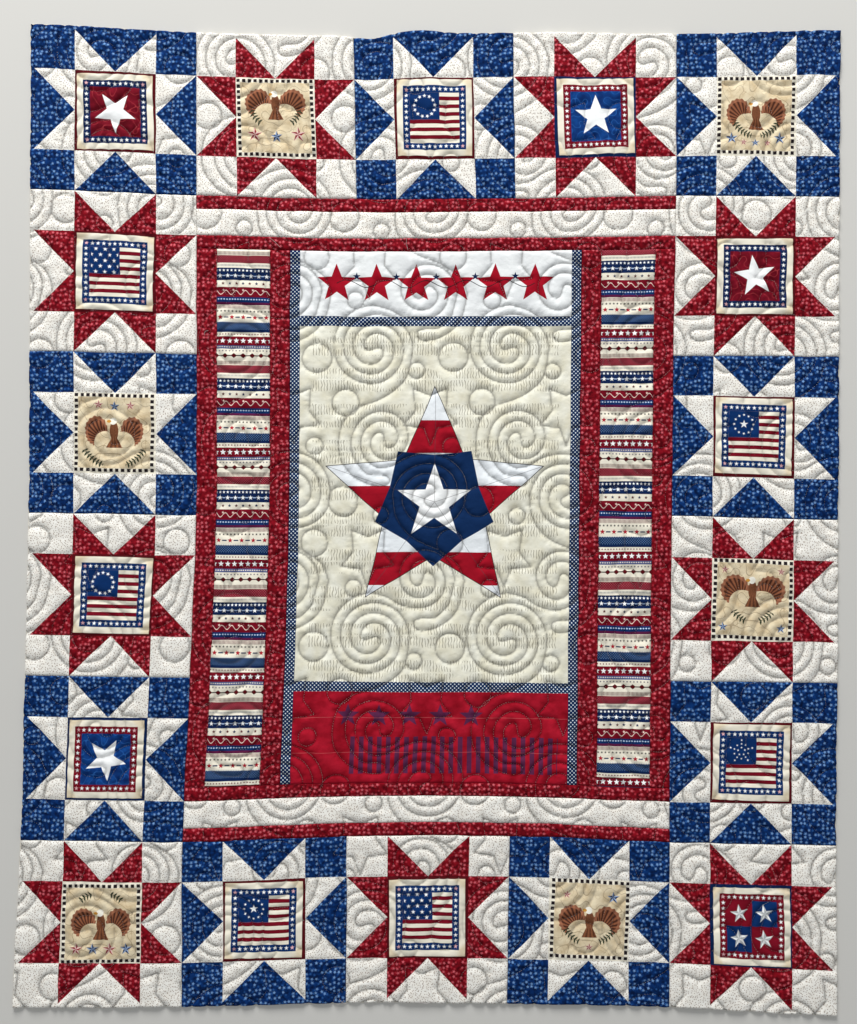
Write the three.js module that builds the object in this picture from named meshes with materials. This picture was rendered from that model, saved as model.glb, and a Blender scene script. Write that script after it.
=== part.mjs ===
// A pieced star quilt lying flat, in millimetres. X runs to its right, Y to its top and Z up. The origin is
// on the floor, under the middle of its outline. Flat places are in inches from the lower left corner of the
// block grid.
import * as THREE from 'three';
import { ConvexHull } from 'three/addons/math/ConvexHull.js';

const inch = 25.4;

// The block grid
const blockSide = 12;
const patchSide = 3;
const columnCount = 5;
const rowCount = 6;
const gridWide = columnCount * blockSide;
const gridHigh = rowCount * blockSide;
const rawEdge = 0.25;

// The centre, from its outside in
const redStripWide = 1;
const creamStripWide = 2;
const railWide = 1;
const stileWide = 1.5;
const stripedWide = 4;

// Thicknesses
const backingThick = 1.2;
const backingProud = 1.5;
const pieceGap = 0.3;
const seamThick = 1.2;
const puffRise = 3.3;
const puffReach = 8;

// The quilting of the centre, at twice the pitch of the stitched lines: pairs of spirals and circles, which
// repeat over the cloth. Places are in mm from the middle of a repeat's first spiral, and angles in turns.
const motifWide = 262;
const motifHigh = 548;
const motifFirst = new THREE.Vector2(119, 137);
const spiralPitch = 37;
const spiralStart = 12;
const spirals = [
  { x: 0, y: 0, way: -1, from: 0.73, radius: 76 },
  { x: 98, y: 110, way: -1, from: 0.88, radius: 60 },
  { x: 22, y: -174, way: 1, from: 0.09, radius: 68 },
  { x: 110, y: -280, way: 1, from: 0.4, radius: 76 },
];
const circles = [
  { x: -108, y: -17, radius: 28 },
  { x: 84, y: -43, radius: 16 },
  { x: -53, y: -103, radius: 25 },
  { x: 150, y: -187, radius: 17 },
  { x: -57, y: -291, radius: 28 },
  { x: 15, y: -318, radius: 16 },
  { x: -111, y: -370, radius: 25 },
  { x: -34, y: -454, radius: 16 },
];

// The quilting of a star block: circles in its corner squares, large triangles and centre
const shoulder = 10;
const cornerCircle = 18;
const sideCircle = 14;
const centreCircles = [
  { radius: 22, count: 8, low: true },
  { radius: 38, count: 10, low: false },
  { radius: 54, count: 14, low: true },
];

// Spacing of the points that carry the relief
const edgeStep = 1.5;
const cornerClear = 10;
const lineStep = 27;
const ridgeStep = 30;
const ridgeClear = 18;
const lineClear = 14;
const edgeClear = 9;
const searchStep = 9;
const samePlace = 1;

// How far the seam crossings lie from an even grid, in mm: a row for each line of crossings, from the left
const crossings = [
  { up: 0, dx: [-6, 1, 6, 4, 3, 6], dy: [-11, -6, 5, 7, 4, -9] },
  { up: 12, dx: [5, -1, 4, 6, 2, 3], dy: [-8, -9, 5, 9, 1, -2] },
  { up: 24, dx: [8, 9, 9, 7, 2, 4], dy: [-3, -4, -2, -1, -2, -2] },
  { up: 36, dx: [11, 17, 13, 8, 3, 5], dy: [0, -2, 0, 3, 5, 0] },
  { up: 48, dx: [8, 14, 12, 8, 4, 5], dy: [2, -1, -2, 1, 4, 4] },
  { up: 60, dx: [5, 10, 10, 7, 7, 5], dy: [6, -3, -8, -4, 3, 4] },
  { up: 72, dx: [2, 6, 1, 0, 6, 5], dy: [11, -3, -8, 1, 1, 9] },
];

// Loose stretches of the top edge: middle and half length in inches, and the bulge in mm
const edgeWaves = [
  { middle: 25.2, half: 2.2, bulge: -5 },
  { middle: 28.8, half: 3.6, bulge: 8 },
];
const waveDepth = 4;

const colours = {
  blueStar: 0x2a4a86,
  redStar: 0xa02a38,
  red: 0x8e1d2c,
  cream: 0xe6dfce,
  striped: 0x6a6a8c,
  panel: 0xe2d9bd,
  backing: 0xece7da,
};

// Catmull-Rom weights for a place t between the two middle values of four
function splineWeights(t) {
  return [
    (-t + 2 * t * t - t * t * t) / 2,
    (2 - 5 * t * t + 3 * t * t * t) / 2,
    (t + 4 * t * t - 3 * t * t * t) / 2,
    (-t * t + t * t * t) / 2,
  ];
}

// The place of a flat point of the cloth as it lies, in mm
function lay(x, y) {
  const u = THREE.MathUtils.clamp(x / blockSide, 0, columnCount);
  const v = THREE.MathUtils.clamp(y / blockSide, 0, rowCount);
  const column = Math.min(Math.floor(u), columnCount - 1);
  const row = Math.min(Math.floor(v), rowCount - 1);
  const acrossWeights = splineWeights(u - column);
  const upWeights = splineWeights(v - row);
  const place = new THREE.Vector2((x - gridWide / 2) * inch, (y - gridHigh / 2) * inch);
  for (let j = 0; j < 4; j += 1) {
    const line = crossings[THREE.MathUtils.clamp(row - 1 + j, 0, rowCount)];
    for (let i = 0; i < 4; i += 1) {
      const crossing = THREE.MathUtils.clamp(column - 1 + i, 0, columnCount);
      const weight = acrossWeights[i] * upWeights[j];
      place.x += weight * line.dx[crossing];
      place.y += weight * line.dy[crossing];
    }
  }
  const nearTop = THREE.MathUtils.clamp(1 - (gridHigh - y) / waveDepth, 0, 1);
  for (const wave of edgeWaves) {
    const along = THREE.MathUtils.clamp((x - wave.middle) / wave.half, -1, 1);
    place.y += wave.bulge * nearTop * (1 + Math.cos(Math.PI * along)) / 2;
  }
  return place;
}

// Points on an arc about a centre, with angles in turns and the radius growing evenly from one end to the other
function arcPoints(centre, fromRadius, toRadius, fromTurn, toTurn) {
  const length = Math.PI * (fromRadius + toRadius) * Math.abs(toTurn - fromTurn);
  const steps = Math.ceil(length / searchStep);
  const points = [];
  for (let i = 0; i <= steps; i += 1) {
    const t = i / steps;
    const angle = 2 * Math.PI * THREE.MathUtils.lerp(fromTurn, toTurn, t);
    const radius = THREE.MathUtils.lerp(fromRadius, toRadius, t);
    points.push(new THREE.Vector2(centre.x + radius * Math.cos(angle), centre.y + radius * Math.sin(angle)));
  }
  return points;
}

// Lines over the whole cloth, in flat mm. With inward at 0 they are the quilted lines, and at half the pitch the
// crests between them.
function quiltedLines(inward) {
  const lines = [];
  const across = Math.ceil(gridWide * inch / motifWide) + 1;
  const up = Math.ceil(gridHigh * inch / motifHigh) + 1;
  for (let row = 0; row <= up; row += 1) {
    for (let i = -1; i <= across; i += 1) {
      const first = new THREE.Vector2(motifFirst.x + i * motifWide, motifFirst.y + row * motifHigh);
      for (const { x, y, way, from, radius } of spirals) {
        const centre = new THREE.Vector2(x, y).add(first);
        const start = Math.max(0, spiralStart - inward);
        const turns = way * (radius - spiralStart) / spiralPitch;
        lines.push(arcPoints(centre, start, radius - inward, from, from + turns));
      }
      for (const { x, y, radius } of circles) {
        const round = inward > 0 ? samePlace : radius;
        lines.push(arcPoints(new THREE.Vector2(x, y).add(first), round, round, 0, 1));
      }
    }
  }
  return lines;
}

function distanceToLine(point, line) {
  let nearest = Infinity;
  for (let i = 1; i < line.length; i += 1) {
    const along = line[i].clone().sub(line[i - 1]);
    const away = point.clone().sub(line[i - 1]);
    const t = THREE.MathUtils.clamp(away.dot(along) / along.lengthSq(), 0, 1);
    nearest = Math.min(nearest, away.sub(along.multiplyScalar(t)).length());
  }
  return nearest;
}

// Points at even steps along a line, its two ends included
function spacedPoints(line, step) {
  const path = new THREE.CurvePath();
  for (let i = 1; i < line.length; i += 1) {
    path.add(new THREE.LineCurve(line[i - 1], line[i]));
  }
  return path.getSpacedPoints(Math.max(1, Math.round(path.getLength() / step)));
}

// A flat rectangle of cloth in mm, with its edge points on the shared lattice, anticlockwise
function edgePoints(box) {
  const between = (low, high) => {
    const stops = [];
    const step = edgeStep * inch;
    for (let k = Math.ceil(low / step); k * step < high; k += 1) {
      if (k * step - low > cornerClear && high - k * step > cornerClear) {
        stops.push(k * step);
      }
    }
    return [low, ...stops, high];
  };
  const across = between(box.min.x, box.max.x);
  const up = between(box.min.y, box.max.y);
  return [
    ...across.slice(0, -1).map((x) => new THREE.Vector2(x, box.min.y)),
    ...up.slice(0, -1).map((y) => new THREE.Vector2(box.max.x, y)),
    ...across.slice(1).reverse().map((x) => new THREE.Vector2(x, box.max.y)),
    ...up.slice(1).reverse().map((y) => new THREE.Vector2(box.min.x, y)),
  ];
}

// Triangles over flat points, from the underside of the hull of the points lifted onto a bowl
function triangulate(points) {
  const middle = points.reduce((sum, p) => sum.add(p), new THREE.Vector2()).divideScalar(points.length);
  const bowl = 1000;
  const upright = -1e-6;
  const lifted = points.map((p) => {
    const away = p.clone().sub(middle);
    return new THREE.Vector3(away.x, away.y, away.lengthSq() / bowl);
  });
  const place = new Map(lifted.map((p, i) => [p, i]));
  const hull = new ConvexHull().setFromPoints(lifted);
  const triangles = [];
  for (const face of hull.faces) {
    if (face.normal.z < upright) {
      const corners = [face.edge, face.edge.next, face.edge.prev].map((edge) => place.get(edge.head().point));
      const [a, b, c] = corners.map((corner) => points[corner]);
      const turn = b.clone().sub(a).cross(c.clone().sub(a));
      triangles.push(turn > 0 ? corners : [corners[0], corners[2], corners[1]]);
    }
  }
  return triangles;
}

// A closed sheet from flat mm points and their heights: the edge points come first, in order
function closedSheet(points, heights, triangles, edgeCount, underside) {
  const edge = points.slice(0, edgeCount);
  const positions = [];
  const add = (point, z) => {
    const place = lay(point.x / inch, point.y / inch);
    positions.push(place.x, place.y, z);
  };
  points.forEach((point, i) => add(point, heights[i]));
  edge.forEach((point) => add(point, underside));
  const indices = triangles.flat();
  triangulate(edge).forEach(([a, b, c]) => {
    indices.push(points.length + a, points.length + c, points.length + b);
  });
  for (let i = 0; i < edgeCount; i += 1) {
    const next = (i + 1) % edgeCount;
    indices.push(i, points.length + i, next);
    indices.push(next, points.length + i, points.length + next);
  }
  const geometry = new THREE.BufferGeometry();
  geometry.setAttribute('position', new THREE.Float32BufferAttribute(positions, 3));
  geometry.setIndex(indices);
  geometry.computeVertexNormals();
  return geometry;
}

const quilted = quiltedLines(0);
const crests = quiltedLines(spiralPitch / 2);
const topUnderside = backingThick + pieceGap;
const seamHeight = topUnderside + seamThick;

function puffHeight(distance) {
  return seamHeight + puffRise * (1 - Math.exp(-distance / puffReach));
}

// The flat box of a piece in mm, from its seam lines in inches: raw at the outside, elsewhere half a gap in
function pieceBox(left, bottom, right, top) {
  const place = (value, far, side) => {
    const outside = value === (side < 0 ? 0 : far);
    return value * inch + side * (outside ? rawEdge * inch : -pieceGap / 2);
  };
  return new THREE.Box2(
    new THREE.Vector2(place(left, gridWide, -1), place(bottom, gridHigh, -1)),
    new THREE.Vector2(place(right, gridWide, 1), place(top, gridHigh, 1)),
  );
}

// A plain piece of the centre, puffed up between its edges and the quilted lines
function quiltedPiece(left, bottom, right, top) {
  const box = pieceBox(left, bottom, right, top);
  const points = edgePoints(box);
  const edgeCount = points.length;
  const reach = box.clone().expandByScalar(spiralPitch);
  const near = (line) => line.some((point) => reach.containsPoint(point));
  const ditches = quilted.filter(near);
  const distance = (point) => {
    const { min, max } = box;
    const toEdge = Math.min(point.x - min.x, max.x - point.x, point.y - min.y, max.y - point.y);
    return ditches.reduce((least, line) => Math.min(least, distanceToLine(point, line)), toEdge);
  };
  const inner = box.clone().expandByScalar(-edgeClear);
  const addWhereClear = (point, clear) => {
    if (inner.containsPoint(point) && points.every((other) => other.distanceTo(point) > clear)) {
      points.push(point);
    }
  };
  for (const line of [...ditches, ...crests.filter(near)]) {
    spacedPoints(line, lineStep).forEach((point) => addWhereClear(point, lineClear));
  }
  const lineCount = points.length;
  const candidates = [];
  for (let x = inner.min.x; x <= inner.max.x; x += searchStep) {
    for (let y = inner.min.y; y <= inner.max.y; y += searchStep) {
      const point = new THREE.Vector2(x, y);
      candidates.push({ point, away: distance(point) });
    }
  }
  candidates.sort((a, b) => b.away - a.away);
  for (const { point } of candidates) {
    const clearOfLines = points.slice(0, lineCount).every((other) => other.distanceTo(point) > ridgeClear);
    const clearOfOthers = points.slice(lineCount).every((other) => other.distanceTo(point) > ridgeStep);
    if (clearOfLines && clearOfOthers) {
      points.push(point);
    }
  }
  const heights = points.map((point) => puffHeight(distance(point)));
  return closedSheet(points, heights, triangulate(points), edgeCount, topUnderside);
}

function circle(centre, radius, count, height) {
  return Array.from({ length: count }, (_, i) => {
    const angle = 2 * Math.PI * i / count;
    const point = new THREE.Vector2(centre.x + radius * Math.cos(angle), centre.y + radius * Math.sin(angle));
    return { point, height };
  });
}

// The patches of a star block: corners in inches, anticlockwise, and the circles quilted on them in mm
function starPatches() {
  const side = blockSide;
  const near = patchSide;
  const far = side - near;
  const middle = side / 2;
  const half = near / 2;
  const sideDepth = near * (Math.SQRT2 - 1);
  const tipDepth = near * 0.7;
  const quarter = [
    { corners: [[0, 0], [half, 0], [near, 0], [near, near], [0, near], [0, half]],
      centre: [half, half],
      circles: [{ radius: cornerCircle, count: 8, low: true }] },
    { corners: [[near, 0], [near + half, 0], [middle, 0], [far - half, 0], [far, 0], [middle, near]],
      centre: [middle, sideDepth],
      circles: [{ radius: sideCircle, count: 7, low: true }] },
    { corners: [[near, 0], [middle, near], [near, near]],
      centre: [near + near - tipDepth, tipDepth],
      circles: [] },
    { corners: [[far, 0], [far, near], [middle, near]],
      centre: [far - near + tipDepth, tipDepth],
      circles: [] },
  ];
  const turn = ([x, y], times) => times === 0 ? [x, y] : turn([side - y, x], times - 1);
  const patches = [{
    corners: [[near, near], [middle, near], [far, near], [far, middle],
      [far, far], [middle, far], [near, far], [near, middle]],
    centre: [middle, middle],
    circles: centreCircles,
  }];
  for (let times = 0; times < 4; times += 1) {
    for (const { corners, centre, circles } of quarter) {
      const turned = corners.map((corner) => turn(corner, times));
      patches.push({ corners: turned, centre: turn(centre, times), circles });
    }
  }
  return patches;
}

// The corners of a convex patch moved in by the shoulder's width
function shoulders(corners) {
  return corners.map((corner, i) => {
    const before = corners[(i + corners.length - 1) % corners.length];
    const after = corners[(i + 1) % corners.length];
    const inwards = [corner.clone().sub(before), after.clone().sub(corner)]
      .map((along) => new THREE.Vector2(-along.y, along.x).normalize());
    const both = inwards[0].clone().add(inwards[1]);
    return corner.clone().add(both.multiplyScalar(shoulder / (1 + inwards[0].dot(inwards[1]))));
  });
}

// A star block: each patch a pillow between its seams, with its quilted circles
function starBlock(left, bottom) {
  const box = pieceBox(left, bottom, left + blockSide, bottom + blockSide);
  const points = edgePoints(box);
  const edgeCount = points.length;
  const heights = points.map(() => seamHeight);
  const addPoint = (point, height) => {
    const found = points.findIndex((other) => other.distanceTo(point) < samePlace);
    if (found >= 0) {
      return found;
    }
    points.push(point);
    heights.push(height);
    return points.length - 1;
  };
  const along = (value, start, low, high) => {
    if (value === 0) {
      return low;
    }
    return value === blockSide ? high : (start + value) * inch;
  };
  const place = ([x, y]) => new THREE.Vector2(
    along(x, left, box.min.x, box.max.x),
    along(y, bottom, box.min.y, box.max.y),
  );
  const triangles = [];
  for (const { corners, centre, circles } of starPatches()) {
    const outer = corners.map(place);
    const inner = shoulders(outer);
    const rim = outer.map((point) => addPoint(point, seamHeight));
    const ring = inner.map((point) => addPoint(point, puffHeight(shoulder)));
    rim.forEach((corner, i) => {
      const next = (i + 1) % rim.length;
      triangles.push([corner, rim[next], ring[next]], [corner, ring[next], ring[i]]);
    });
    const middle = place(centre);
    const crown = [{ point: middle, height: seamHeight + puffRise }];
    circles.forEach(({ radius, count, low }) => {
      crown.push(...circle(middle, radius, count, low ? seamHeight : seamHeight + puffRise));
    });
    const inside = crown.map(({ point, height }) => addPoint(point, height));
    const plateau = [...ring, ...inside];
    for (const triangle of triangulate(plateau.map((i) => points[i]))) {
      triangles.push(triangle.map((corner) => plateau[corner]));
    }
  }
  return closedSheet(points, heights, triangles, edgeCount, topUnderside);
}

function backing() {
  const box = new THREE.Box2(
    new THREE.Vector2(-rawEdge, -rawEdge).multiplyScalar(inch),
    new THREE.Vector2(gridWide + rawEdge, gridHigh + rawEdge).multiplyScalar(inch),
  ).expandByScalar(backingProud);
  const points = edgePoints(box);
  const heights = points.map(() => backingThick);
  return closedSheet(points, heights, triangulate(points), points.length, 0);
}

const quilt = new THREE.Group();

function addNode(name, geometry, colour) {
  const material = new THREE.MeshStandardMaterial({ color: colour, roughness: 0.9, metalness: 0 });
  const mesh = new THREE.Mesh(geometry, material);
  mesh.name = name;
  quilt.add(mesh);
}

function addPiece(name, left, bottom, right, top, colour) {
  addNode(name, quiltedPiece(left, bottom, right, top), colour);
}

// The ring of star blocks, blue and red in turn, named by column from the left and row from the top
function addStarBlocks() {
  for (let column = 0; column < columnCount; column += 1) {
    for (let row = 0; row < rowCount; row += 1) {
      const inside = column > 0 && column < columnCount - 1 && row > 0 && row < rowCount - 1;
      if (!inside) {
        const blue = (column + row) % 2 === 0;
        addNode(
          `${blue ? 'blue' : 'red'}_star_block_${column + 1}_${row + 1}`,
          starBlock(column * blockSide, (rowCount - 1 - row) * blockSide),
          blue ? colours.blueStar : colours.redStar,
        );
      }
    }
  }
}

// The strips, rails, stiles, striped columns and panel inside the ring
function addCentre() {
  const left = blockSide;
  const right = gridWide - blockSide;
  const bottom = blockSide;
  const top = gridHigh - blockSide;
  const bands = [
    { name: 'red_strip', wide: redStripWide, colour: colours.red },
    { name: 'cream_strip', wide: creamStripWide, colour: colours.cream },
    { name: 'red_rail', wide: railWide, colour: colours.red },
  ];
  let inset = 0;
  for (const { name, wide, colour } of bands) {
    addPiece(`${name}_top`, left, top - inset - wide, right, top - inset, colour);
    addPiece(`${name}_bottom`, left, bottom + inset, right, bottom + inset + wide, colour);
    inset += wide;
  }
  const low = bottom + inset;
  const high = top - inset;
  const uprights = [
    { name: 'outer_red_stile', wide: stileWide, colour: colours.red },
    { name: 'striped_column', wide: stripedWide, colour: colours.striped },
    { name: 'inner_red_stile', wide: stileWide, colour: colours.red },
  ];
  let across = 0;
  for (const { name, wide, colour } of uprights) {
    addPiece(`${name}_left`, left + across, low, left + across + wide, high, colour);
    addPiece(`${name}_right`, right - across - wide, low, right - across, high, colour);
    across += wide;
  }
  addPiece('centre_panel', left + across, low, right - across, high, colours.panel);
}

addNode('backing', backing(), colours.backing);
addStarBlocks();
addCentre();

export default quilt;
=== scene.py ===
import math

import bpy
import numpy as np
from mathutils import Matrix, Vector, kdtree


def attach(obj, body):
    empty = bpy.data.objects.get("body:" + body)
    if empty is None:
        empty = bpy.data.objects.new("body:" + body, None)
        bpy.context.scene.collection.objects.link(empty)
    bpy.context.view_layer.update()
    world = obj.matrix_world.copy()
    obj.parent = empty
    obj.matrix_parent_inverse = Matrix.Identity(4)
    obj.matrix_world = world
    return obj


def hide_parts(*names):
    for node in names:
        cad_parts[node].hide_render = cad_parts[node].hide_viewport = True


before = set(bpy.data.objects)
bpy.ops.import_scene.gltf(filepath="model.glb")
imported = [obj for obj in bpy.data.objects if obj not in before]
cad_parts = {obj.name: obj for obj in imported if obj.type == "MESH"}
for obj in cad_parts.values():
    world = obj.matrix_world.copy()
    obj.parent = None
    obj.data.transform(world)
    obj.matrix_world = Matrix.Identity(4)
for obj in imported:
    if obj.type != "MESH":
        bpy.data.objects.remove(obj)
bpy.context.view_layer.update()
print("frame loaded")

inch = 0.0254
mm = 1 / 25.4  # a millimetre in inches, because the cloth is planned in inches

# The plan of the quilt in inches, from the lower left crossing of its seams
plan = {
    "block": 12,
    "patch": 3,
    "columns": 5,
    "rows": 6,
    "rawEdge": 0.25,
    "cell": 0.125,  # one square of the mesh
    "under": 8,  # of these squares to one of a cloth's underside
}
block = plan["block"]
planWide = plan["columns"] * block
planHigh = plan["rows"] * block

# How far each crossing of the block seams lies from its even place, in mm
crossings = [
    {"up": 0, "dx": (-6, 1, 6, 4, 3, 6), "dy": (-11, -6, 5, 7, 4, -9)},
    {"up": 12, "dx": (5, -1, 4, 6, 2, 3), "dy": (-8, -9, 5, 9, 1, -2)},
    {"up": 24, "dx": (8, 9, 9, 7, 2, 4), "dy": (-3, -4, -2, -1, -2, -2)},
    {"up": 36, "dx": (11, 17, 13, 8, 3, 5), "dy": (0, -2, 0, 3, 5, 0)},
    {"up": 48, "dx": (8, 14, 12, 8, 4, 5), "dy": (2, -1, -2, 1, 4, 4)},
    {"up": 60, "dx": (5, 10, 10, 7, 7, 5), "dy": (6, -3, -8, -4, 3, 4)},
    {"up": 72, "dx": (2, 6, 1, 0, 6, 5), "dy": (11, -3, -8, 1, 1, 9)},
]

# Short waves of the top edge: middle and half length in inches along it, bulge in mm
edgeWaves = [
    {"middle": 25.2, "half": 2.2, "bulge": -5},
    {"middle": 28.8, "half": 3.6, "bulge": 8},
]
waveDepth = 4

# Sewn seams aren't quite straight
wobble = {"seam": 0.0009, "size": 1.9}


def splineWeights(t):
    return [
        (-t + 2 * t**2 - t**3) / 2,
        (2 - 5 * t**2 + 3 * t**3) / 2,
        (t + 4 * t**2 - 3 * t**3) / 2,
        (-(t**2) + t**3) / 2,
    ]


# Smooth noise from -1 to 1 over the flat cloth, with lumps about size inches wide
def lumps(x, y, size, seed):
    table = np.random.default_rng(seed).uniform(-1, 1, (97, 97))
    u, v = x / size + 11.37, y / size + 7.81
    i, j = np.floor(u).astype(int), np.floor(v).astype(int)
    s, t = u - i, v - j
    s, t = s * s * (3 - 2 * s), t * t * (3 - 2 * t)
    a, b = table[j % 97, i % 97], table[j % 97, (i + 1) % 97]
    c, d = table[(j + 1) % 97, i % 97], table[(j + 1) % 97, (i + 1) % 97]
    return (a * (1 - s) + b * s) * (1 - t) + (c * (1 - s) + d * s) * t


# Where flat places of the cloth, in inches, lie on the floor in metres
def lay(x, y):
    u = np.clip(x / block, 0, plan["columns"])
    v = np.clip(y / block, 0, plan["rows"])
    column = np.minimum(np.floor(u), plan["columns"] - 1).astype(int)
    row = np.minimum(np.floor(v), plan["rows"] - 1).astype(int)
    across, up = splineWeights(u - column), splineWeights(v - row)
    laidX = (x - planWide / 2) * inch
    laidY = (y - planHigh / 2) * inch
    drifts = np.array([(line["dx"], line["dy"]) for line in crossings]) / 1000
    for j in range(4):
        line = np.clip(row - 1 + j, 0, plan["rows"])
        for i in range(4):
            crossing = np.clip(column - 1 + i, 0, plan["columns"])
            laidX = laidX + across[i] * up[j] * drifts[line, 0, crossing]
            laidY = laidY + across[i] * up[j] * drifts[line, 1, crossing]
    nearTop = np.clip(1 - (planHigh - y) / waveDepth, 0, 1)
    for wave in edgeWaves:
        along = np.clip((x - wave["middle"]) / wave["half"], -1, 1)
        laidY = laidY + wave["bulge"] / 1000 * nearTop * (1 + np.cos(np.pi * along)) / 2
    laidX = laidX + wobble["seam"] * lumps(x, y, wobble["size"], 3)
    laidY = laidY + wobble["seam"] * lumps(x, y, wobble["size"], 4)
    return laidX, laidY


# Edge-to-edge machine quilting: one repeat in mm from the middle of its first spiral, with angles in turns
quilting = {
    "first": (119, 137),
    "wide": 262,  # from one repeat to the next
    "high": 548,
    "pitch": 37,  # of a spiral's arm, with its other arm half way between
    "stray": 2.2,  # how far the lines stray from an even pattern
    "step": 1.2,  # between the points that stand for a line
}

# The spirals turn with or against the clock. Each arm has a start and a number of turns
spirals = [
    {"x": 0, "y": 0, "way": -1, "arms": ((0.55, 2.3), (0.05, 2.05))},
    {"x": 98, "y": 110, "way": -1, "arms": ((0.7, 1.7), (0.2, 1.45))},
    {"x": 22, "y": -174, "way": 1, "arms": ((0.77, 1.85), (0.27, 1.45))},
    {"x": 110, "y": -280, "way": 1, "arms": ((0.58, 1.92), (0.08, 2.17))},
]

# The lines that join them, as places along smooth curves
links = [
    # down round the third spiral, with a hairpin below it
    [(76, 0), (66, -52), (43, -78), (8, -98), (-30, -112), (-56, -138), (-66, -176), (-60, -214),
     (-38, -243)],
    [(-38, -243), (-4, -259), (24, -261), (34, -251), (24, -241), (-8, -239), (-28, -221)],
    # over the fourth
    [(13, -227), (38, -222), (62, -208), (88, -200), (110, -200)],
    # down round the second of the repeat below, with a hairpin below that
    [(39, -280), (44, -318), (60, -345), (79, -362), (102, -373), (126, -382), (148, -395), (168, -412),
     (180, -440)],
    [(180, -440), (166, -494), (134, -524), (102, -534), (86, -529), (84, -517), (98, -511), (126, -508),
     (150, -484)],
    [(150, -484), (161, -438)],
    # from the first under the second
    [(0, 85), (30, 77), (54, 63), (76, 57), (98, 56)],
]

circles = [
    {"x": -108, "y": -17, "radius": 28},
    {"x": 84, "y": -43, "radius": 15.5},
    {"x": -53, "y": -103, "radius": 25},
    {"x": 150, "y": -187, "radius": 17},
    {"x": -57, "y": -291, "radius": 28},
    {"x": 15, "y": -318, "radius": 15.5},
    {"x": -111, "y": -370, "radius": 25},
    {"x": -34, "y": -454, "radius": 16},
]

# Upside-down stars: where their upper notches lie, and half an outline from there
quiltedStars = [(110, -90), (-8, -357)]
starHalf = [(0, 0), (33, 13), (29, -29), (51, -56), (13, -61), (0, -95)]


def around(centre, radius, angle):
    return np.stack([centre["x"] + radius * np.cos(angle), centre["y"] + radius * np.sin(angle)], 1)


# Both arms of a spiral meet in an S, so an arm starts to turn after half a pitch
def spiralArm(spiral, start, turns):
    t = turns * np.sqrt(np.linspace(0, 1, 240))
    angle = 2 * math.pi * (start + spiral["way"] * (t**4 + 0.5**4) ** 0.25)
    return around(spiral, quilting["pitch"] * t, angle)


def smoothCurve(stops):
    p = np.array([stops[0], *stops, stops[-1]], float)
    t = np.linspace(0, 1, 16, endpoint=False)[:, None]
    spans = []
    for four in zip(p, p[1:], p[2:], p[3:]):
        spans.append(sum(weight * place for weight, place in zip(splineWeights(t), four)))
    return np.concatenate([*spans, p[-1:]])


def distances(path):
    return np.concatenate([[0], np.cumsum(np.hypot(*np.diff(path, axis=0).T))])


def placesAt(path, stops):
    gone = distances(path)
    return np.stack([np.interp(stops, gone, path[:, 0]), np.interp(stops, gone, path[:, 1])], 1)


def evenly(path, step):
    long = distances(path)[-1]
    return placesAt(path, np.linspace(0, long, max(3, int(long / step) + 1)))


# Every line over the whole cloth, as points in inches
def quiltingLines():
    motif = [spiralArm(spiral, *arm) for spiral in spirals for arm in spiral["arms"]]
    motif += [smoothCurve(link) for link in links]
    motif += [around(circle, circle["radius"], np.linspace(0, 2 * math.pi, 90)) for circle in circles]
    outline = starHalf + [(-x, y) for x, y in reversed(starHalf[:-1])]
    motif += [np.array(outline) + place for place in quiltedStars]
    motif = [evenly(line, quilting["step"]) for line in motif]
    found = []
    for row in range(int(planHigh / mm / quilting["high"]) + 2):
        for i in range(-1, int(planWide / mm / quilting["wide"]) + 2):
            first = np.array(quilting["first"]) + (i * quilting["wide"], row * quilting["high"])
            for line in motif:
                x, y = (line + first).T
                stray = [quilting["stray"] * lumps(x * mm, y * mm, 4.3, seed) for seed in (21, 22)]
                found.append(np.stack([x + stray[0], y + stray[1]], 1) * mm)
    return found


lines = quiltingLines()
edge = plan["rawEdge"]
places = np.concatenate(lines)
inside = (places[:, 0] > -edge) & (places[:, 0] < planWide + edge)
inside &= (places[:, 1] > -edge) & (places[:, 1] < planHigh + edge)
places = places[inside]
print("quilting planned,", round(len(places) * quilting["step"] / 1000), "m of stitching")


# Where a place lies in a star block: in its middle columns, in its middle rows, how deep from the nearest
# side, and how far along that side
def placeInBlock(u, v):
    side, near = block, plan["patch"]
    middle = side / 2
    insideX, insideY = abs(u - middle) < middle - near, abs(v - middle) < middle - near
    upright = insideX & ~insideY  # the bottom and top sides
    depth = np.where(upright, np.where(v > middle, side - v, v), np.where(u > middle, side - u, u))
    return insideX, insideY, depth, np.where(upright, u, v)


# Which patch of a star block holds a place: 0 is the middle, 1 to 4 the corner squares, 5 to 8 the large
# triangles and 9 to 16 the star points
def starPatch(u, v):
    side, near = block, plan["patch"]
    middle = side / 2
    u, v = np.clip(u, 0.001, side - 0.001), np.clip(v, 0.001, side - 0.001)
    insideX, insideY, depth, along = placeInBlock(u, v)
    right, upper = u > middle, v > middle
    large = depth < near - abs(along - middle)
    which = np.where(insideX & ~insideY, np.where(upper, 2, 0), np.where(right, 1, 3))
    patch = np.where(large, 5 + which, 9 + 2 * which + (along > middle))
    patch = np.where(~insideX & ~insideY, 1 + right + 2 * upper, patch)
    return np.where(insideX & insideY, 0, patch)


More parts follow.
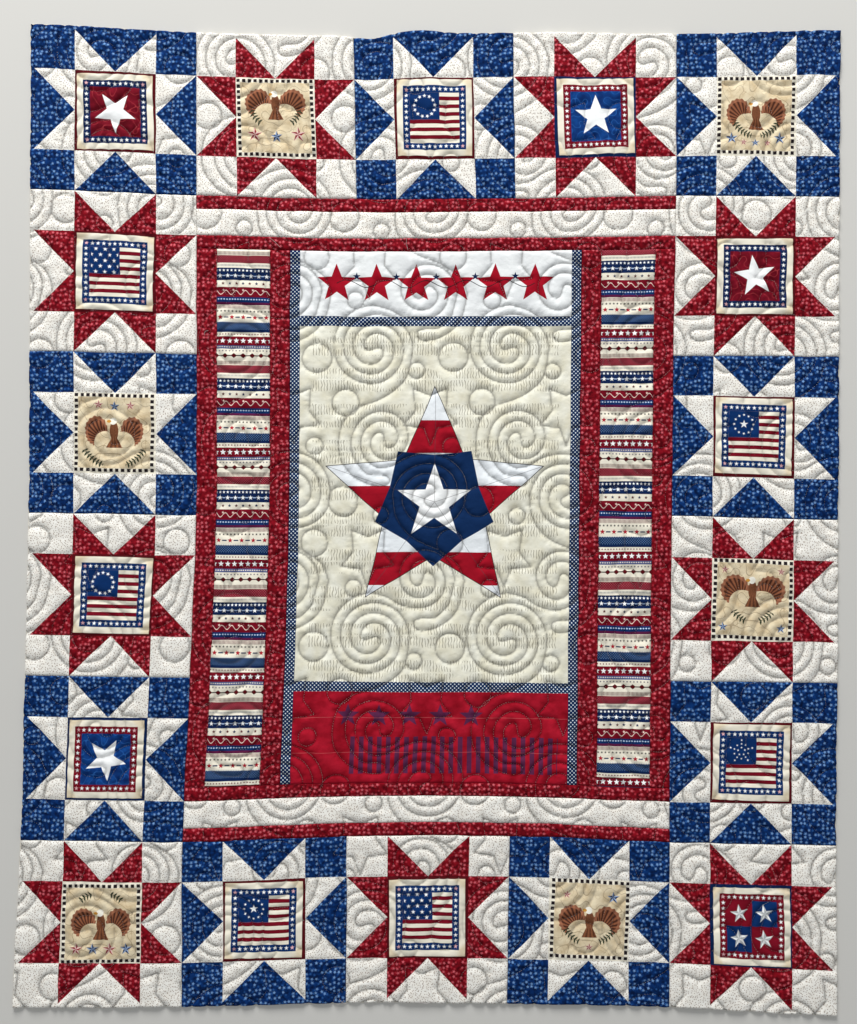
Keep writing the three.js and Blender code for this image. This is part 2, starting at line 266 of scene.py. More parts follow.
# The cloths of the centre, from their seams in inches
def centrePieces():
    left, right = block, planWide - block
    bottom, top = block, planHigh - block
    found, inset = [], 0
    for name, size in (("red_strip", 1), ("cream_strip", 2), ("red_rail", 1)):
        found.append((name + "_top", left, top - inset - size, right, top - inset))
        found.append((name + "_bottom", left, bottom + inset, right, bottom + inset + size))
        inset += size
    low, high, aside = bottom + inset, top - inset, 0
    for name, size in (("outer_red_stile", 1.5), ("striped_column", 4), ("inner_red_stile", 1.5)):
        found.append((name + "_left", left + aside, low, left + aside + size, high))
        found.append((name + "_right", right - aside - size, low, right - aside, high))
        aside += size
    found.append(("centre_panel", left + aside, low, right - aside, high))
    return found


def blockPieces():
    found = []
    for column in range(plan["columns"]):
        for row in range(plan["rows"]):
            if column in (0, plan["columns"] - 1) or row in (0, plan["rows"] - 1):
                colour = "red" if (column + row) % 2 else "blue"
                left, bottom = column * block, (plan["rows"] - 1 - row) * block
                name = f"{colour}_star_block_{column + 1}_{row + 1}"
                found.append((name, left, bottom, left + block, bottom + block))
    return found


# A number for every sewn patch of the top, by place
def patchNumber(x, y):
    x, y = np.clip(x, 0.001, planWide - 0.001), np.clip(y, 0.001, planHigh - 0.001)
    column, row = (x // block).astype(int), (y // block).astype(int)
    patch = starPatch(x % block, y % block)
    number = 17 * (row * plan["columns"] + column) + patch
    for i, (_, left, bottom, right, top) in enumerate(centrePieces()):
        here = (x > left) & (x < right) & (y > bottom) & (y < top)
        number = np.where(here, 1000 + i, number)
    return number


# Heights above the floor in metres, for the mesh that all the cloths of the top share
relief = {
    "backing": 0.0012,
    "underside": 0.0015,  # of the top's cloths
    "seam": 0.0027,
    "rise": 0.0040,  # of the wadding between the quilted lines
    "reach": 4.8,  # mm from a line to most of that rise
    "ditch": (0.4, 0.8, 0.95),  # share of the rise on a sewn seam, and one and two mesh squares away
    "pucker": 0.0044,
    "puckerPitch": 8.5,  # mm along a line
    "swell": 0.0005,
    "press": 0.0005,  # depth of the stitched lines in the backing
}

cell = plan["cell"]
edgeCells = round(edge / cell)
latticeX, latticeY = np.meshgrid(
    np.arange(-edgeCells, planWide / cell + edgeCells + 0.5) * cell,
    np.arange(-edgeCells, planHigh / cell + edgeCells + 0.5) * cell,
)


# A mesh corner lies on a seam where the places close round it are in different patches
def seamShare():
    near = 0.02
    sides = ((1, 0.5), (0.5, 1), (-0.5, 1), (-1, 0.5), (-1, -0.5), (-0.5, -1), (0.5, -1), (1, -0.5))
    patches = [patchNumber(latticeX + near * a, latticeY + near * b) for a, b in sides]
    seam = np.any([patch != patches[0] for patch in patches], axis=0)
    share = np.where(seam, relief["ditch"][0], 1.0)
    reached = seam
    for value in relief["ditch"][1:]:
        wider = reached.copy()
        wider[1:] |= reached[:-1]
        wider[:-1] |= reached[1:]
        wider[:, 1:] |= reached[:, :-1]
        wider[:, :-1] |= reached[:, 1:]
        share[wider & ~reached] = value
        reached = wider
    return seam, share


# Mesh corners near a quilted line move onto it, so that the ditch is even
def drawnToLines(seam):
    tree = kdtree.KDTree(len(places))
    for i, (x, y) in enumerate(places.tolist()):
        tree.insert((x, y, 0), i)
    tree.balance()
    found = [tree.find((x, y, 0)) for x, y in zip(latticeX.ravel().tolist(), latticeY.ravel().tolist())]
    away = np.array([hit[2] for hit in found]).reshape(latticeX.shape)
    index = np.array([hit[1] for hit in found])
    nearest = places[index]
    snap = 0.94 * ((away < 0.48 * cell) & ~seam)
    x = latticeX + snap * (nearest[:, 0].reshape(latticeX.shape) - latticeX)
    y = latticeY + snap * (nearest[:, 1].reshape(latticeX.shape) - latticeY)
    return x, y, away * (1 - snap) / mm, index.reshape(latticeX.shape) * quilting["step"]


def swell(x, y):
    return relief["swell"] * (lumps(x, y, 3.1, 9) + lumps(x, y, 1.4, 10) + lumps(x, y, 0.6, 8))


# Between its stitches the cloth gathers in small folds across the quilted lines
seam, share = seamShare()
clothX, clothY, away, along = drawnToLines(seam)
laidX, laidY = lay(clothX, clothY)
rise = relief["rise"] * (1 - np.exp(-away / relief["reach"]))
fold = 0.4 - abs(lumps(along, away * 0.35, relief["puckerPitch"], 7))
fold = fold * np.exp(-away / 7) * (1 - np.exp(-away / 2))
clothZ = relief["seam"] + (rise + relief["pucker"] * fold + swell(clothX, clothY)) * share
# Nearness to a quilted line: it presses the backing in, and the shaders paint shade from it along the ditches
groove = np.exp(-away / 1.3)
print("relief worked out")


def linear(value):
    return value / 12.92 if value <= 0.04045 else ((value + 0.055) / 1.055) ** 2.4


# A colour as seen, from 0 to 255, for a shader
def dye(red, green, blue):
    return (linear(red / 255), linear(green / 255), linear(blue / 255), 1.0)


# A value in a shader, so that its maths reads as maths
class Wire:
    def __init__(self, shader, socket):
        self.shader, self.socket = shader, socket

    def maths(self, operation, *others):
        values = dict(enumerate((self, *others)))
        return self.shader.node("ShaderNodeMath", {"operation": operation}, values)

    def __rsub__(self, other):
        return self * -1 + other

    def __abs__(self):
        return self.maths("ABSOLUTE")

    def limited(self, low=0.0, high=1.0):
        return self.most(low).least(high)

    # A wave from 0 to 1
    def waved(self):
        return self.maths("SINE") * 0.5 + 0.5

    def wrapped(self, pitch):
        return self.maths("WRAP", pitch / 2, -pitch / 2)


operations = {
    "__add__": "ADD",
    "__radd__": "ADD",
    "__sub__": "SUBTRACT",
    "__mul__": "MULTIPLY",
    "__rmul__": "MULTIPLY",
    "__truediv__": "DIVIDE",
    "__lt__": "LESS_THAN",
    "__gt__": "GREATER_THAN",
    "least": "MINIMUM",
    "most": "MAXIMUM",
}
for method, operation in operations.items():
    setattr(Wire, method, lambda self, other, operation=operation: self.maths(operation, other))


class Shader:
    def __init__(self, name):
        self.material = bpy.data.materials.new(name)
        self.material.use_nodes = True
        self.tree = self.material.node_tree
        self.tree.nodes.clear()

    # Any node: its settings first, then the values or links of its sockets
    def node(self, kind, settings=None, sockets=None, output=0):
        made = self.tree.nodes.new(kind)
        for key, value in (settings or {}).items():
            if key == "stops":
                self.setStops(made.color_ramp, value)
            else:
                setattr(made, key, value)
        for key, value in (sockets or {}).items():
            if isinstance(value, Wire):
                self.tree.links.new(value.socket, made.inputs[key])
            else:
                made.inputs[key].default_value = value
        return Wire(self, made.outputs[output])

    # Another output of the node that a value comes from
    def beside(self, wire, output):
        return Wire(self, wire.socket.node.outputs[output])

    def setStops(self, ramp, stops):
        ramp.interpolation = "CONSTANT"
        ramp.elements.remove(ramp.elements[1])
        ramp.elements[0].position, ramp.elements[0].color = stops[0]
        for position, colour in stops[1:]:
            ramp.elements.new(position).color = colour

    def mix(self, share, first, second):
        settings = {"data_type": "RGBA", "clamp_factor": True}
        return self.node("ShaderNodeMix", settings, {0: share, 6: first, 7: second}, 2)

    def shade(self, colour, amount):
        grey = self.node("ShaderNodeCombineColor", {}, {0: amount, 1: amount, 2: amount})
        settings = {"data_type": "RGBA", "blend_type": "MULTIPLY"}
        return self.node("ShaderNodeMix", settings, {0: 1.0, 6: colour, 7: grey}, 2)

    # The cloth's own flat coordinates in mm, from its UV map in metres
    def clothPlace(self):
        uv = self.node("ShaderNodeUVMap", {"uv_map": "cloth"})
        place = self.node("ShaderNodeVectorMath", {"operation": "SCALE"}, {0: uv, "Scale": 1000.0})
        return place, *self.parts(place)

    def noise(self, place, size, detail=2.0):
        sockets = {"Vector": place, "Scale": 1 / size, "Detail": detail}
        return self.node("ShaderNodeTexNoise", {"noise_dimensions": "2D"}, sockets)

    def cells(self, place, pitch, loose=1.0, output="Distance"):
        settings = {"voronoi_dimensions": "2D", "feature": "F1"}
        sockets = {"Vector": place, "Scale": 1 / pitch, "Randomness": loose}
        return self.node("ShaderNodeTexVoronoi", settings, sockets, output)

    def vector(self, operation, first, second):
        return self.node("ShaderNodeVectorMath", {"operation": operation}, {0: first, 1: second})

    def parts(self, vector):
        x = self.node("ShaderNodeSeparateXYZ", {}, {0: vector})
        return x, self.beside(x, 1)

    def attribute(self, name):
        return self.node("ShaderNodeAttribute", {"attribute_name": name}, {}, 2)

    # A drawing has gaps in mm, which are below 0 inside its shape
    def inside(self, gap, soft=0.5):
        return (0.5 - gap / soft).limited()

    def draw(self, colour, gap, tint, strength=1.0):
        return self.mix(self.inside(gap) * strength, colour, tint)

    def surface(self, sockets):
        principled = self.node("ShaderNodeBsdfPrincipled", {}, sockets)
        output = self.tree.nodes.new("ShaderNodeOutputMaterial")
        self.tree.links.new(principled.socket, output.inputs["Surface"])
        return self.material


def disc(x, y, centre, radius, stretch=1.0):
    u, v = (x - centre[0]) * stretch, y - centre[1]
    return (u * u + v * v).maths("SQRT") - radius


def box(x, y, halfWide, halfHigh):
    return (abs(x) - halfWide).most(abs(y) - halfHigh)


# A five-pointed star, turned against the clock in degrees
def star(x, y, radius, turn=0.0, waist=0.4):
    length = (x * x + y * y).maths("SQRT")
    angle = x.maths("ARCTAN2", y) + (turn * math.pi / 180)
    fold = angle.maths("PINGPONG", math.pi / 5)
    along, across = length * fold.maths("COSINE"), length * fold.maths("SINE")
    notchAlong = waist * radius * math.cos(math.pi / 5)
    notchAcross = waist * radius * math.sin(math.pi / 5)
    side = math.hypot(notchAcross, radius - notchAlong)
    return ((along - radius) * notchAcross + across * (radius - notchAlong)) / side


# Each point of a barn star has a light and a dark half
def barnStar(shader, colour, x, y, radius, light, dark, turn=0.0):
    gap = star(x, y, radius, turn)
    angle = x.maths("ARCTAN2", y) + (turn * math.pi / 180)
    half = angle.wrapped(2 * math.pi / 5) > 0.0
    return shader.draw(colour, gap, shader.mix(half, light, dark))


# How every cloth is finished, with sizes in mm
finish = {
    "uneven": (46, 3, 0.16),  # size, detail and strength
    "weave": (9.0, 0.1),  # threads' phase over a mm, and height
    "creases": ((2.6, 3, 0.9), (9, 2, 2.8)),  # size, detail and height
    "bump": 0.35,
    "roughness": 0.9,
}


# Worn and creased cloth is a little uneven in tone, and painted shade darkens its stitched ditches
def finishCloth(shader, colour, paintedDitchShade=0.28):
    place, x, y = shader.clothPlace()
    size, detail, strength = finish["uneven"]
    uneven = 1 - strength / 2 + strength * shader.noise(place, size, detail)
    # Painted shade: the colour darkens along the stitched ditches, by how near each corner lies to a quilted
    # line
    colour = shader.shade(colour, uneven * (1 - paintedDitchShade * shader.attribute("groove")))
    phase, weave = finish["weave"]
    height = weave * ((x * phase).maths("SINE") + (y * phase).maths("SINE"))
    for size, detail, tall in finish["creases"]:
        height = height + tall * shader.noise(place, size, detail)
    sockets = {"Strength": 0.7, "Distance": finish["bump"] / 1000, "Height": height}
    bump = shader.node("ShaderNodeBump", {}, sockets)
    sockets = {"Base Color": colour, "Roughness": finish["roughness"], "Normal": bump}
    return shader.surface({**sockets, "Specular IOR Level": 0.1})


inks = {
    "white": dye(248, 249, 247),
    "cream": dye(240, 233, 214),
    "tan": dye(214, 190, 146),
    "red": dye(116, 10, 30),
    "brightRed": dye(172, 20, 43),
    "blue": dye(8, 46, 98),
    "navy": dye(10, 34, 76),
    "dullNavy": dye(66, 40, 76),
    "darkRed": dye(84, 12, 20),
    "ink": dye(34, 26, 30),
    "darkBrown": dye(64, 34, 26),
    "green": dye(44, 54, 36),
    "pink": dye(226, 176, 178),
}

prints = {
    "blue": {"ground": dye(0, 20, 58), "mottle": dye(6, 50, 110),
             "star": dye(118, 158, 208), "faint": dye(42, 90, 154)},
    "red": {"ground": dye(80, 0, 10), "mottle": dye(136, 10, 26),
            "star": dye(220, 102, 112), "faint": dye(178, 48, 60)},
    "pitch": 8.8,  # mm from one star to the next
    "loose": 0.6,
    "speckPitch": 4.2,
    "sizes": (("star", 2.9, 0.7, 0), ("faint", 2.4, 0.75, 400)),  # ink, radius, share of places, shift
}


# Little stars tossed over a mottled ground
def tossedPrint(name):
    shader = Shader(name + "_tossed_star_cotton")
    tones = prints[name]
    place, _, _ = shader.clothPlace()
    colour = shader.mix(shader.noise(place, 8, 2) * 2.4 - 0.7, tones["ground"], tones["mottle"])
    for ink, radius, wanted, shift in reversed(prints["sizes"]):
        moved = shader.vector("ADD", place, (shift, shift / 3, 0))
        centre = shader.cells(moved, prints["pitch"], prints["loose"], "Position")
        chance = shader.node("ShaderNodeSeparateColor", {}, {0: shader.beside(centre, "Color")})
        spin = shader.beside(chance, 1)
        u, v = shader.parts(shader.vector("SUBTRACT", moved, centre))
        gap = star(u, v, radius, spin * 360, 0.55)
        share = shader.inside(gap, 1.4) * (chance < wanted) * (0.7 + 0.3 * spin)
        colour = shader.mix(share, colour, tones[ink])
    return finishCloth(shader, colour)


def creamPrint():
    shader = Shader("cream_speckled_cotton")
    place, _, _ = shader.clothPlace()
    colour = shader.mix(shader.noise(place, 16, 3), dye(250, 249, 242), dye(238, 232, 220))
    speck = shader.cells(place, prints["speckPitch"]) * prints["speckPitch"]
    colour = shader.draw(colour, speck - 0.85, dye(122, 90, 66), 0.8)
    # The cream gets strong painted shade along its stitched ditches
    return finishCloth(shader, colour, 0.6)


def plainCloth(name, first, second):
    shader = Shader(name)
    place, _, _ = shader.clothPlace()
    return finishCloth(shader, shader.mix(shader.noise(place, 14, 3), first, second))


# The pictures in the middle of the stars, in mm from their middles
picture = {
    "frame": 71.5,
    "band": 60.0,
    "field": 46.8,
    "bandStar": 4.3,
}
picture["pitch"] = (picture["band"] + picture["field"]) / 10  # five stars from the middle to a corner


def starryFrame(shader, x, y, outline, band):
    place, _, _ = shader.clothPlace()
    edge = abs(x).most(abs(y))
    corner = (abs(x) + abs(y) - 112) / 24 + shader.noise(place, 16) - 0.6
    colour = shader.mix(corner.limited(0, 0.55), inks["cream"], inks["tan"])
    colour = shader.draw(colour, picture["frame"] - edge, outline)
    colour = shader.draw(colour, edge - picture["band"], band)
    pitch = picture["pitch"]
    gap = star(x.wrapped(pitch), y.wrapped(pitch), picture["bandStar"])
    middle = (picture["band"] + picture["field"]) / 2
    gap = gap.most(abs(edge - middle) - pitch / 2)
    isCorner = abs(x).least(abs(y)) > middle - pitch / 2
    return shader.draw(colour, gap, shader.mix(isCorner, inks["white"], inks["pink"]))


def mottled(shader, first, second, size=14):
    place, _, _ = shader.clothPlace()
    return shader.mix(shader.noise(place, size, 3) * 2.2 - 0.6, first, second)


# Thin curling lines, tone on tone
def scrolls(shader, colour, tint, size, thick, strength):
    place, _, _ = shader.clothPlace()
    line = abs(shader.noise(place, size, 0) - 0.5) < thick
    return shader.mix(line * strength, colour, tint)


def finishPicture(shader, x, y, colour, field):
    half = picture["field"]
    return finishCloth(shader, shader.draw(colour, box(x, y, half, half), field))


def starPicture(ground, turn):
    shader = Shader(f"{ground}_star_picture_{turn}")
    _, x, y = shader.clothPlace()
    if ground == "red":
        colour = starryFrame(shader, x, y, inks["darkRed"], inks["navy"])
        field = mottled(shader, dye(92, 4, 20), dye(122, 14, 34))
        field = scrolls(shader, field, dye(180, 60, 66), 17, 0.018, 0.7)
    else:
        colour = starryFrame(shader, x, y, inks["navy"], inks["red"])
        field = mottled(shader, dye(6, 40, 98), dye(14, 66, 134))
        field = scrolls(shader, field, dye(50, 112, 190), 15, 0.02, 0.6)
    field = shader.draw(field, star(x, y, 40, turn, 0.41), inks["white"])
    return finishPicture(shader, x, y, colour, field)


# Rings of stars on the flags: how many, their radius and their size in mm
starRings = {
    "circle": ((13, 19.5, 3.9),),
    "cluster": ((5, 7, 2.2), (10, 14, 2.0), (5, 21, 2.2)),
    "thirteen": ((12, 18, 2.7),),
}


def flagPicture(stars):
    shader = Shader(f"flag_picture_{stars}")
    _, x, y = shader.clothPlace()
    colour = starryFrame(shader, x, y, inks["darkRed"], inks["blue"])
    half = picture["field"]
    stripe = 2 * half / 13
    isRed = (y + half).wrapped(2 * stripe) > 0.0
    field = shader.mix(isRed, inks["red"], inks["cream"])
    cantonWide, cantonHigh = 1.2 * half, 7 * stripe
    u, v = x + (half - cantonWide / 2), y - (half - cantonHigh / 2)
    field = shader.draw(field, box(u, v, cantonWide / 2, cantonHigh / 2), inks["blue"])
    if stars == "rows":
        for shift in (0, 1):
            gap = star((u + 8.4 * shift).wrapped(16.8), (v + 10.8 * shift).wrapped(21.6), 4.4)
            field = shader.draw(field, gap.most(box(u, v, 25, 24)), inks["white"])
    else:
        length, angle = (u * u + v * v).maths("SQRT"), u.maths("ARCTAN2", v)
        for count, radius, size in starRings[stars]:
            gap = star(angle.wrapped(2 * math.pi / count) * radius, length - radius, size)
            field = shader.draw(field, gap, inks["white"])
        if stars == "thirteen":
            field = shader.draw(field, star(u, v, 8), inks["white"])
    return finishPicture(shader, x, y, colour, field)


def fourPatchPicture():
    shader = Shader("four_patch_picture")
    _, x, y = shader.clothPlace()
    colour = starryFrame(shader, x, y, inks["navy"], inks["red"])
    field = shader.mix(x * y < 0.0, inks["blue"], dye(124, 12, 32))
    u, v = abs(x) - picture["field"] / 2, abs(y) - picture["field"] / 2
    u = u * ((x > 0.0) * 2 - 1)
    v = v * ((y > 0.0) * 2 - 1)
    field = barnStar(shader, field, u, v, 17.5, inks["white"], dye(186, 190, 190), 8)
    return finishPicture(shader, x, y, colour, field)


# A plain bird with spread wings, leafy sprigs and barn stars, inside a checked border. A sprig has its
# middle's height, its radius and the angles of its ends. A star has its place, its radius and 1 if it is blue
birds = {
    "high": {"y": 32, "arch": 1.1, "sprig": (30, 50, 1.85, 2.5),
             "stars": ((-42, -32, 15, 0), (42, -32, 15, 0), (0, -36, 12, 1))},
    "low": {"y": 8, "arch": 1.0, "sprig": (6, 46, 2.0, 2.95),
            "stars": ((-46, -44, 12, 1), (46, -44, 12, 1), (-23, -52, 7, 0), (23, -52, 7, 0),
                      (0, -52, 8, 1))},
    "mid": {"y": 8, "arch": 0.9, "sprig": (0, 64, 2.1, 2.8),
            "stars": ((-30, 52, 9, 0), (30, 52, 9, 0), (0, 50, 10, 1))},
    "wide": {"y": 22, "arch": 1.15, "sprig": (-2, 40, 2.1, 2.8),
             "stars": ((-52, 54, 8, 0), (52, 54, 8, 0), (-54, -52, 9, 1), (54, -52, 9, 1))},
    "stars": {"y": 6, "arch": 1.0, "sprig": (0, 58, 0.3, 0.75),
              "stars": ((-46, -48, 13, 0), (-15, -48, 12, 1), (16, -48, 13, 0), (47, -48, 12, 1))},
    "turned": {"y": 2, "arch": 1.1, "sprig": (6, 52, 2.1, 2.75),
               "stars": ((44, 42, 12, 1), (-44, 44, 8, 0), (0, -52, 8, 0))},
}


def birdPicture(name):
    design = birds[name]
    shader = Shader("bird_picture_" + name)
    place, x, y = shader.clothPlace()
    side, up, stretch = abs(x), y - design["y"], 1 / design["arch"]
    colour = mottled(shader, dye(236, 221, 188), dye(206, 185, 148), 22)
    colour = scrolls(shader, colour, dye(132, 112, 88), 26, 0.016, 0.55)
    colour = scrolls(shader, colour, dye(164, 138, 102), 13, 0.014, 0.5)

    # Wings: an arch of feathers on each side, deepest at its outer end
    feather = ((side - 20).maths("ARCTAN2", up + 22) * 30).waved()
    arch = disc(side, up * 0.84, (33, -4), 24, stretch)
    wing = arch + feather * 1.8
    wing = wing.most(-1 * disc(side, up, (17, -28), 23, stretch))
    tone = shader.mix(feather, inks["darkBrown"], dye(146, 90, 62))
    rim = (arch > -6.0) * 0.45
    colour = shader.draw(colour, wing, shader.mix(rim, tone, dye(184, 122, 92)))

    # Body, tail, head and beak
    body = disc(x, up, (0, -5), 18, 2.2)
    tail = (side - 4 + 0.5 * (up + 14)).most(abs(up + 25) - 11)
    barred = (x.maths("ARCTAN2", up + 2) * 26).waved() * 0.6 + 0.4 * shader.noise(place, 3, 1)
    plumage = shader.mix(barred, inks["darkBrown"], dye(150, 94, 62))
    colour = shader.draw(colour, body.least(tail), plumage)
    colour = shader.draw(colour, disc(x, up, (-2, 14), 6.5), dye(240, 236, 222))
    colour = shader.draw(colour, disc(x, up, (-9.5, 13.5), 2.8, 0.7), dye(196, 140, 60))

    # Sprigs of leaves on a curve
    low, radius, first, last = design["sprig"]
    v = y - low
    angle = side.maths("ARCTAN2", v)
    away = (side * side + v * v).maths("SQRT") - radius
    across = angle.wrapped(6.4 / radius) * radius - abs(away) * 0.6
    leaf = ((across / 2.1).maths("POWER", 2) + ((abs(away) - 4.2) / 4.2).maths("POWER", 2)).maths("SQRT") - 1
    beyond = (abs(angle - (first + last) / 2) - (last - first) / 2) * radius
    colour = shader.draw(colour, (leaf * 2).least(abs(away) - 0.6).most(beyond), inks["green"])

    for starX, starY, size, isBlue in design["stars"]:
        dark = inks["navy"] if isBlue else dye(140, 34, 50)
        light = dye(150, 170, 200) if isBlue else dye(224, 190, 180)
        colour = barnStar(shader, colour, x - starX, y - starY, size, light, dark)

    # The checked border and a plain margin
    edge = side.most(abs(y))
    colour = shader.draw(colour, 67 - edge, inks["cream"])
    pitch = 141 / 13
    check = box((x + pitch / 2).wrapped(pitch), (y + pitch / 2).wrapped(pitch), 3.2, 3.2)
    return finishCloth(shader, shader.draw(colour, check.most(abs(edge - 70.5) - 3.4), inks["ink"]))


# Bands of the striped cotton from the top of one repeat: height in mm, ground, and rows of marks. Each row
# has its kind, place below the band's top, pitch, size and ink
bands = [
    (14.5, dye(120, 12, 34), [("lattice", 7.2, 4.6, 0.6, dye(206, 130, 136))]),
    (10, inks["cream"], [("tick", 5, 2.6, 1.7, dye(150, 150, 150))]),
    (23.7, inks["navy"], [
        ("star", 5.2, 7.4, 2.9, inks["white"]),
        ("star", 15.6, 14.8, 4.6, inks["white"]),
        ("dash", 15.6, 14.8, 0.9, dye(176, 196, 226)),
    ]),
    (13.5, inks["cream"], [
        ("star", 6.8, 25.8, 3.3, inks["navy"]),
        ("starBetween", 6.8, 25.8, 3.3, inks["darkRed"]),
    ]),
    (18.6, inks["red"], [
        ("wave", 10.5, 19, 4.0, dye(240, 214, 200)),
        ("star", 6, 19, 2.6, dye(240, 214, 200)),
    ]),
    (10, inks["blue"], [("diamond", 5, 5.2, 1.6, dye(196, 214, 240))]),
    (5, dye(90, 24, 62), []),
    (8.5, inks["cream"], [("tick", 4.6, 2.4, 3.4, dye(120, 70, 74))]),
    (25, inks["cream"], [
        ("star", 4.2, 7, 2.4, inks["ink"]),
        ("star", 15.6, 22, 5.2, inks["brightRed"]),
        ("dash", 15.6, 22, 1.2, inks["navy"]),
    ]),
    (18.6, inks["navy"], [("lattice", 6, 4.6, 0.65, dye(130, 170, 214))]),
    (8.5, inks["cream"], [("diamond", 4.2, 5.6, 1.4, inks["red"])]),
    (17, inks["red"], [("star", 8.6, 13, 5.6, inks["white"])]),
    (7, dye(84, 92, 136), [("diamond", 3.5, 4.4, 1.3, inks["cream"])]),
    (22, inks["cream"], [
        ("star", 4.2, 6.4, 2.0, dye(70, 60, 90)),
        ("diamond", 13.6, 17, 4.8, inks["darkRed"]),
        ("dash", 13.6, 17, 1.0, inks["ink"]),
    ]),
    (9.5, inks["cream"], [("tick", 5, 2.4, 3.6, inks["darkRed"])]),
]


# Dots in diagonal rows
def dotRows(x, y, pitch, size):
    dots = disc(x.wrapped(pitch), y.wrapped(pitch), (0, 0), size)
    half = pitch / 2
    return dots.least(disc((x + half).wrapped(pitch), (y + half).wrapped(pitch), (0, 0), size))


def markGap(kind, x, down, pitch, size):
    if kind == "lattice":
        return dotRows(x, down, pitch, size).most(abs(down) - pitch * 1.7)
    if kind == "wave":
        return abs(down + (x * (2 * math.pi / pitch)).maths("SINE") * size) - 0.8
    along = (x + pitch / 2 if kind in ("dash", "starBetween") else x).wrapped(pitch)
    if kind == "dash":
        return box(along, down, pitch / 5, size)
    if kind == "tick":
        return box(along, down, pitch / 4, size)
    if kind == "diamond":
        return abs(along) * 0.8 + abs(down) - size
    return star(along, down * -1, size, 0, 0.45)


def stripedPrint(side, phase):
    shader = Shader("striped_cotton_" + side)
    _, x, y = shader.clothPlace()
    high = sum(size for size, _, _ in bands)
    down = (y * -1 + (508 + phase)).maths("WRAP", high, 0)
    stops, tops = [], []
    for size, ground, _ in bands:
        tops.append(sum(earlier[0] for earlier in bands[: len(tops)]))
        stops.append((tops[-1] / high, ground))
    colour = shader.node("ShaderNodeValToRGB", {"stops": stops}, {0: down / high})
    for top, (_, _, rows) in zip(tops, bands):
        for kind, place, pitch, size, ink in rows:
            colour = shader.draw(colour, markGap(kind, x, down - (top + place), pitch, size), ink)
    return finishCloth(shader, colour)


# The printed panel, in inches from its middle
panel = {
    "dotted": 0.75,
    "dots": (7.5, 1.25),  # pitch and radius in mm
    "wide": 22,
    "header": (15, 20),
    "field": (-12.25, 14.25),
    "footer": (-20, -13),
    "star": {"y": 1.0, "radius": 8.6, "stripe": 2.46},
    "headerPitch": 76,  # mm from one star of the header to the next
}


def panelPrint():
    shader = Shader("printed_panel_cotton")
    place, x, y = shader.clothPlace()
    unit = 25.4

    # Cream field with pairs of rows of short upright strokes, in groups
    colour = mottled(shader, dye(242, 240, 224), dye(226, 221, 198), 30)
    row = abs((y - 328).wrapped(69)) - 12
    groups = shader.node("ShaderNodeCombineXYZ", {}, {0: x / 34, 1: y / 16})
    wanted = (shader.noise(groups, 1, 0) * 6 - 1.9).limited()
    stray = shader.noise(place, 9, 0)
    strokes = box((x + stray * 4).wrapped(5.4), row, 0.75, 8.5 + stray * 4).most(abs(x) - 238)
    colour = shader.draw(colour, strokes, dye(134, 126, 106), wanted * 0.7)

    # A striped barn star with a navy middle
    design = panel["star"]
    radius = design["radius"] * unit
    v = y - design["y"] * unit
    gap = star(x, v, radius, 0, 0.46)
    stripe = design["stripe"] * unit
    isRed = (v + stripe / 2).wrapped(2 * stripe) > 0.0
    colour = shader.draw(colour, gap - 1.3, inks["ink"])
    colour = shader.draw(colour, gap, shader.mix(isRed, dye(236, 240, 242), dye(158, 14, 34)))
    navy = star(x, v, radius * 0.55, 180, 0.75)
    colour = shader.draw(colour, navy, dye(12, 42, 84))
    colour = shader.draw(colour, star(x, v, radius * 0.34), inks["white"])
    fold = abs(x.maths("ARCTAN2", v).wrapped(2 * math.pi / 5)) * (x * x + v * v).maths("SQRT")
    colour = shader.draw(colour, (fold - 0.5).most(gap), dye(70, 60, 66), 0.6)

    # White header: a row of red stars on a fine dark vine
    low, high = (value * unit for value in panel["header"])
    pitch = panel["headerPitch"]
    header = shader.mix(shader.noise(place, 40), dye(242, 244, 242), dye(228, 230, 230))
    up = y - (low + high) / 2
    large = star((x + pitch / 2).wrapped(pitch), up, 39, 0, 0.42).most(abs(x) - 3 * pitch)
    header = shader.draw(header, large, dye(160, 12, 34))
    vine = abs(up + (x * (2 * math.pi / pitch)).maths("SINE") * 7) - 0.8
    for gap, ink in ((vine, "ink"), (star(x.wrapped(pitch), up - 14, 8), "navy")):
        header = shader.draw(header, gap.most(abs(x) - 2.5 * pitch), inks[ink])
    colour = shader.mix(y > low, colour, header)

    # Red footer: dull navy stars over a row of plain bars
    low, high = (value * unit for value in panel["footer"])
    footer = mottled(shader, dye(142, 8, 27), dye(180, 24, 46), 30)
    bars = box((x - 6).wrapped(17), y - (low + 55), 4.4, 36).most(abs(x - 45) - 196)
    stars = star((x + 40).wrapped(58), y - (high - 46), 23).most(abs(x + 40) - 145)
    for gap in (bars, stars):
        footer = shader.draw(footer, gap, inks["dullNavy"], 0.85)
    # Two thin paler lines run across the red footer
    for paleLine in (0.34, 0.72):
        footer = shader.draw(footer, abs(y - (low + paleLine * (high - low))) - 0.35, dye(226, 120, 120), 0.5)
    colour = shader.mix(y < high, colour, footer)

    # Dotted navy strips at both sides and between the three
    strips = panel["wide"] / 2 * unit - abs(x) - panel["dotted"] * unit
    for edge in (panel["header"][0], panel["field"][0]):
        strips = strips.least(abs(y - (edge - panel["dotted"] / 2) * unit) - panel["dotted"] / 2 * unit)
    dotted = shader.draw(dye(12, 40, 80), dotRows(x, y, *panel["dots"]), dye(226, 236, 240))
    # The panel gets strong painted shade along its stitched ditches
    return finishCloth(shader, shader.draw(colour, strips, dotted), 0.55)


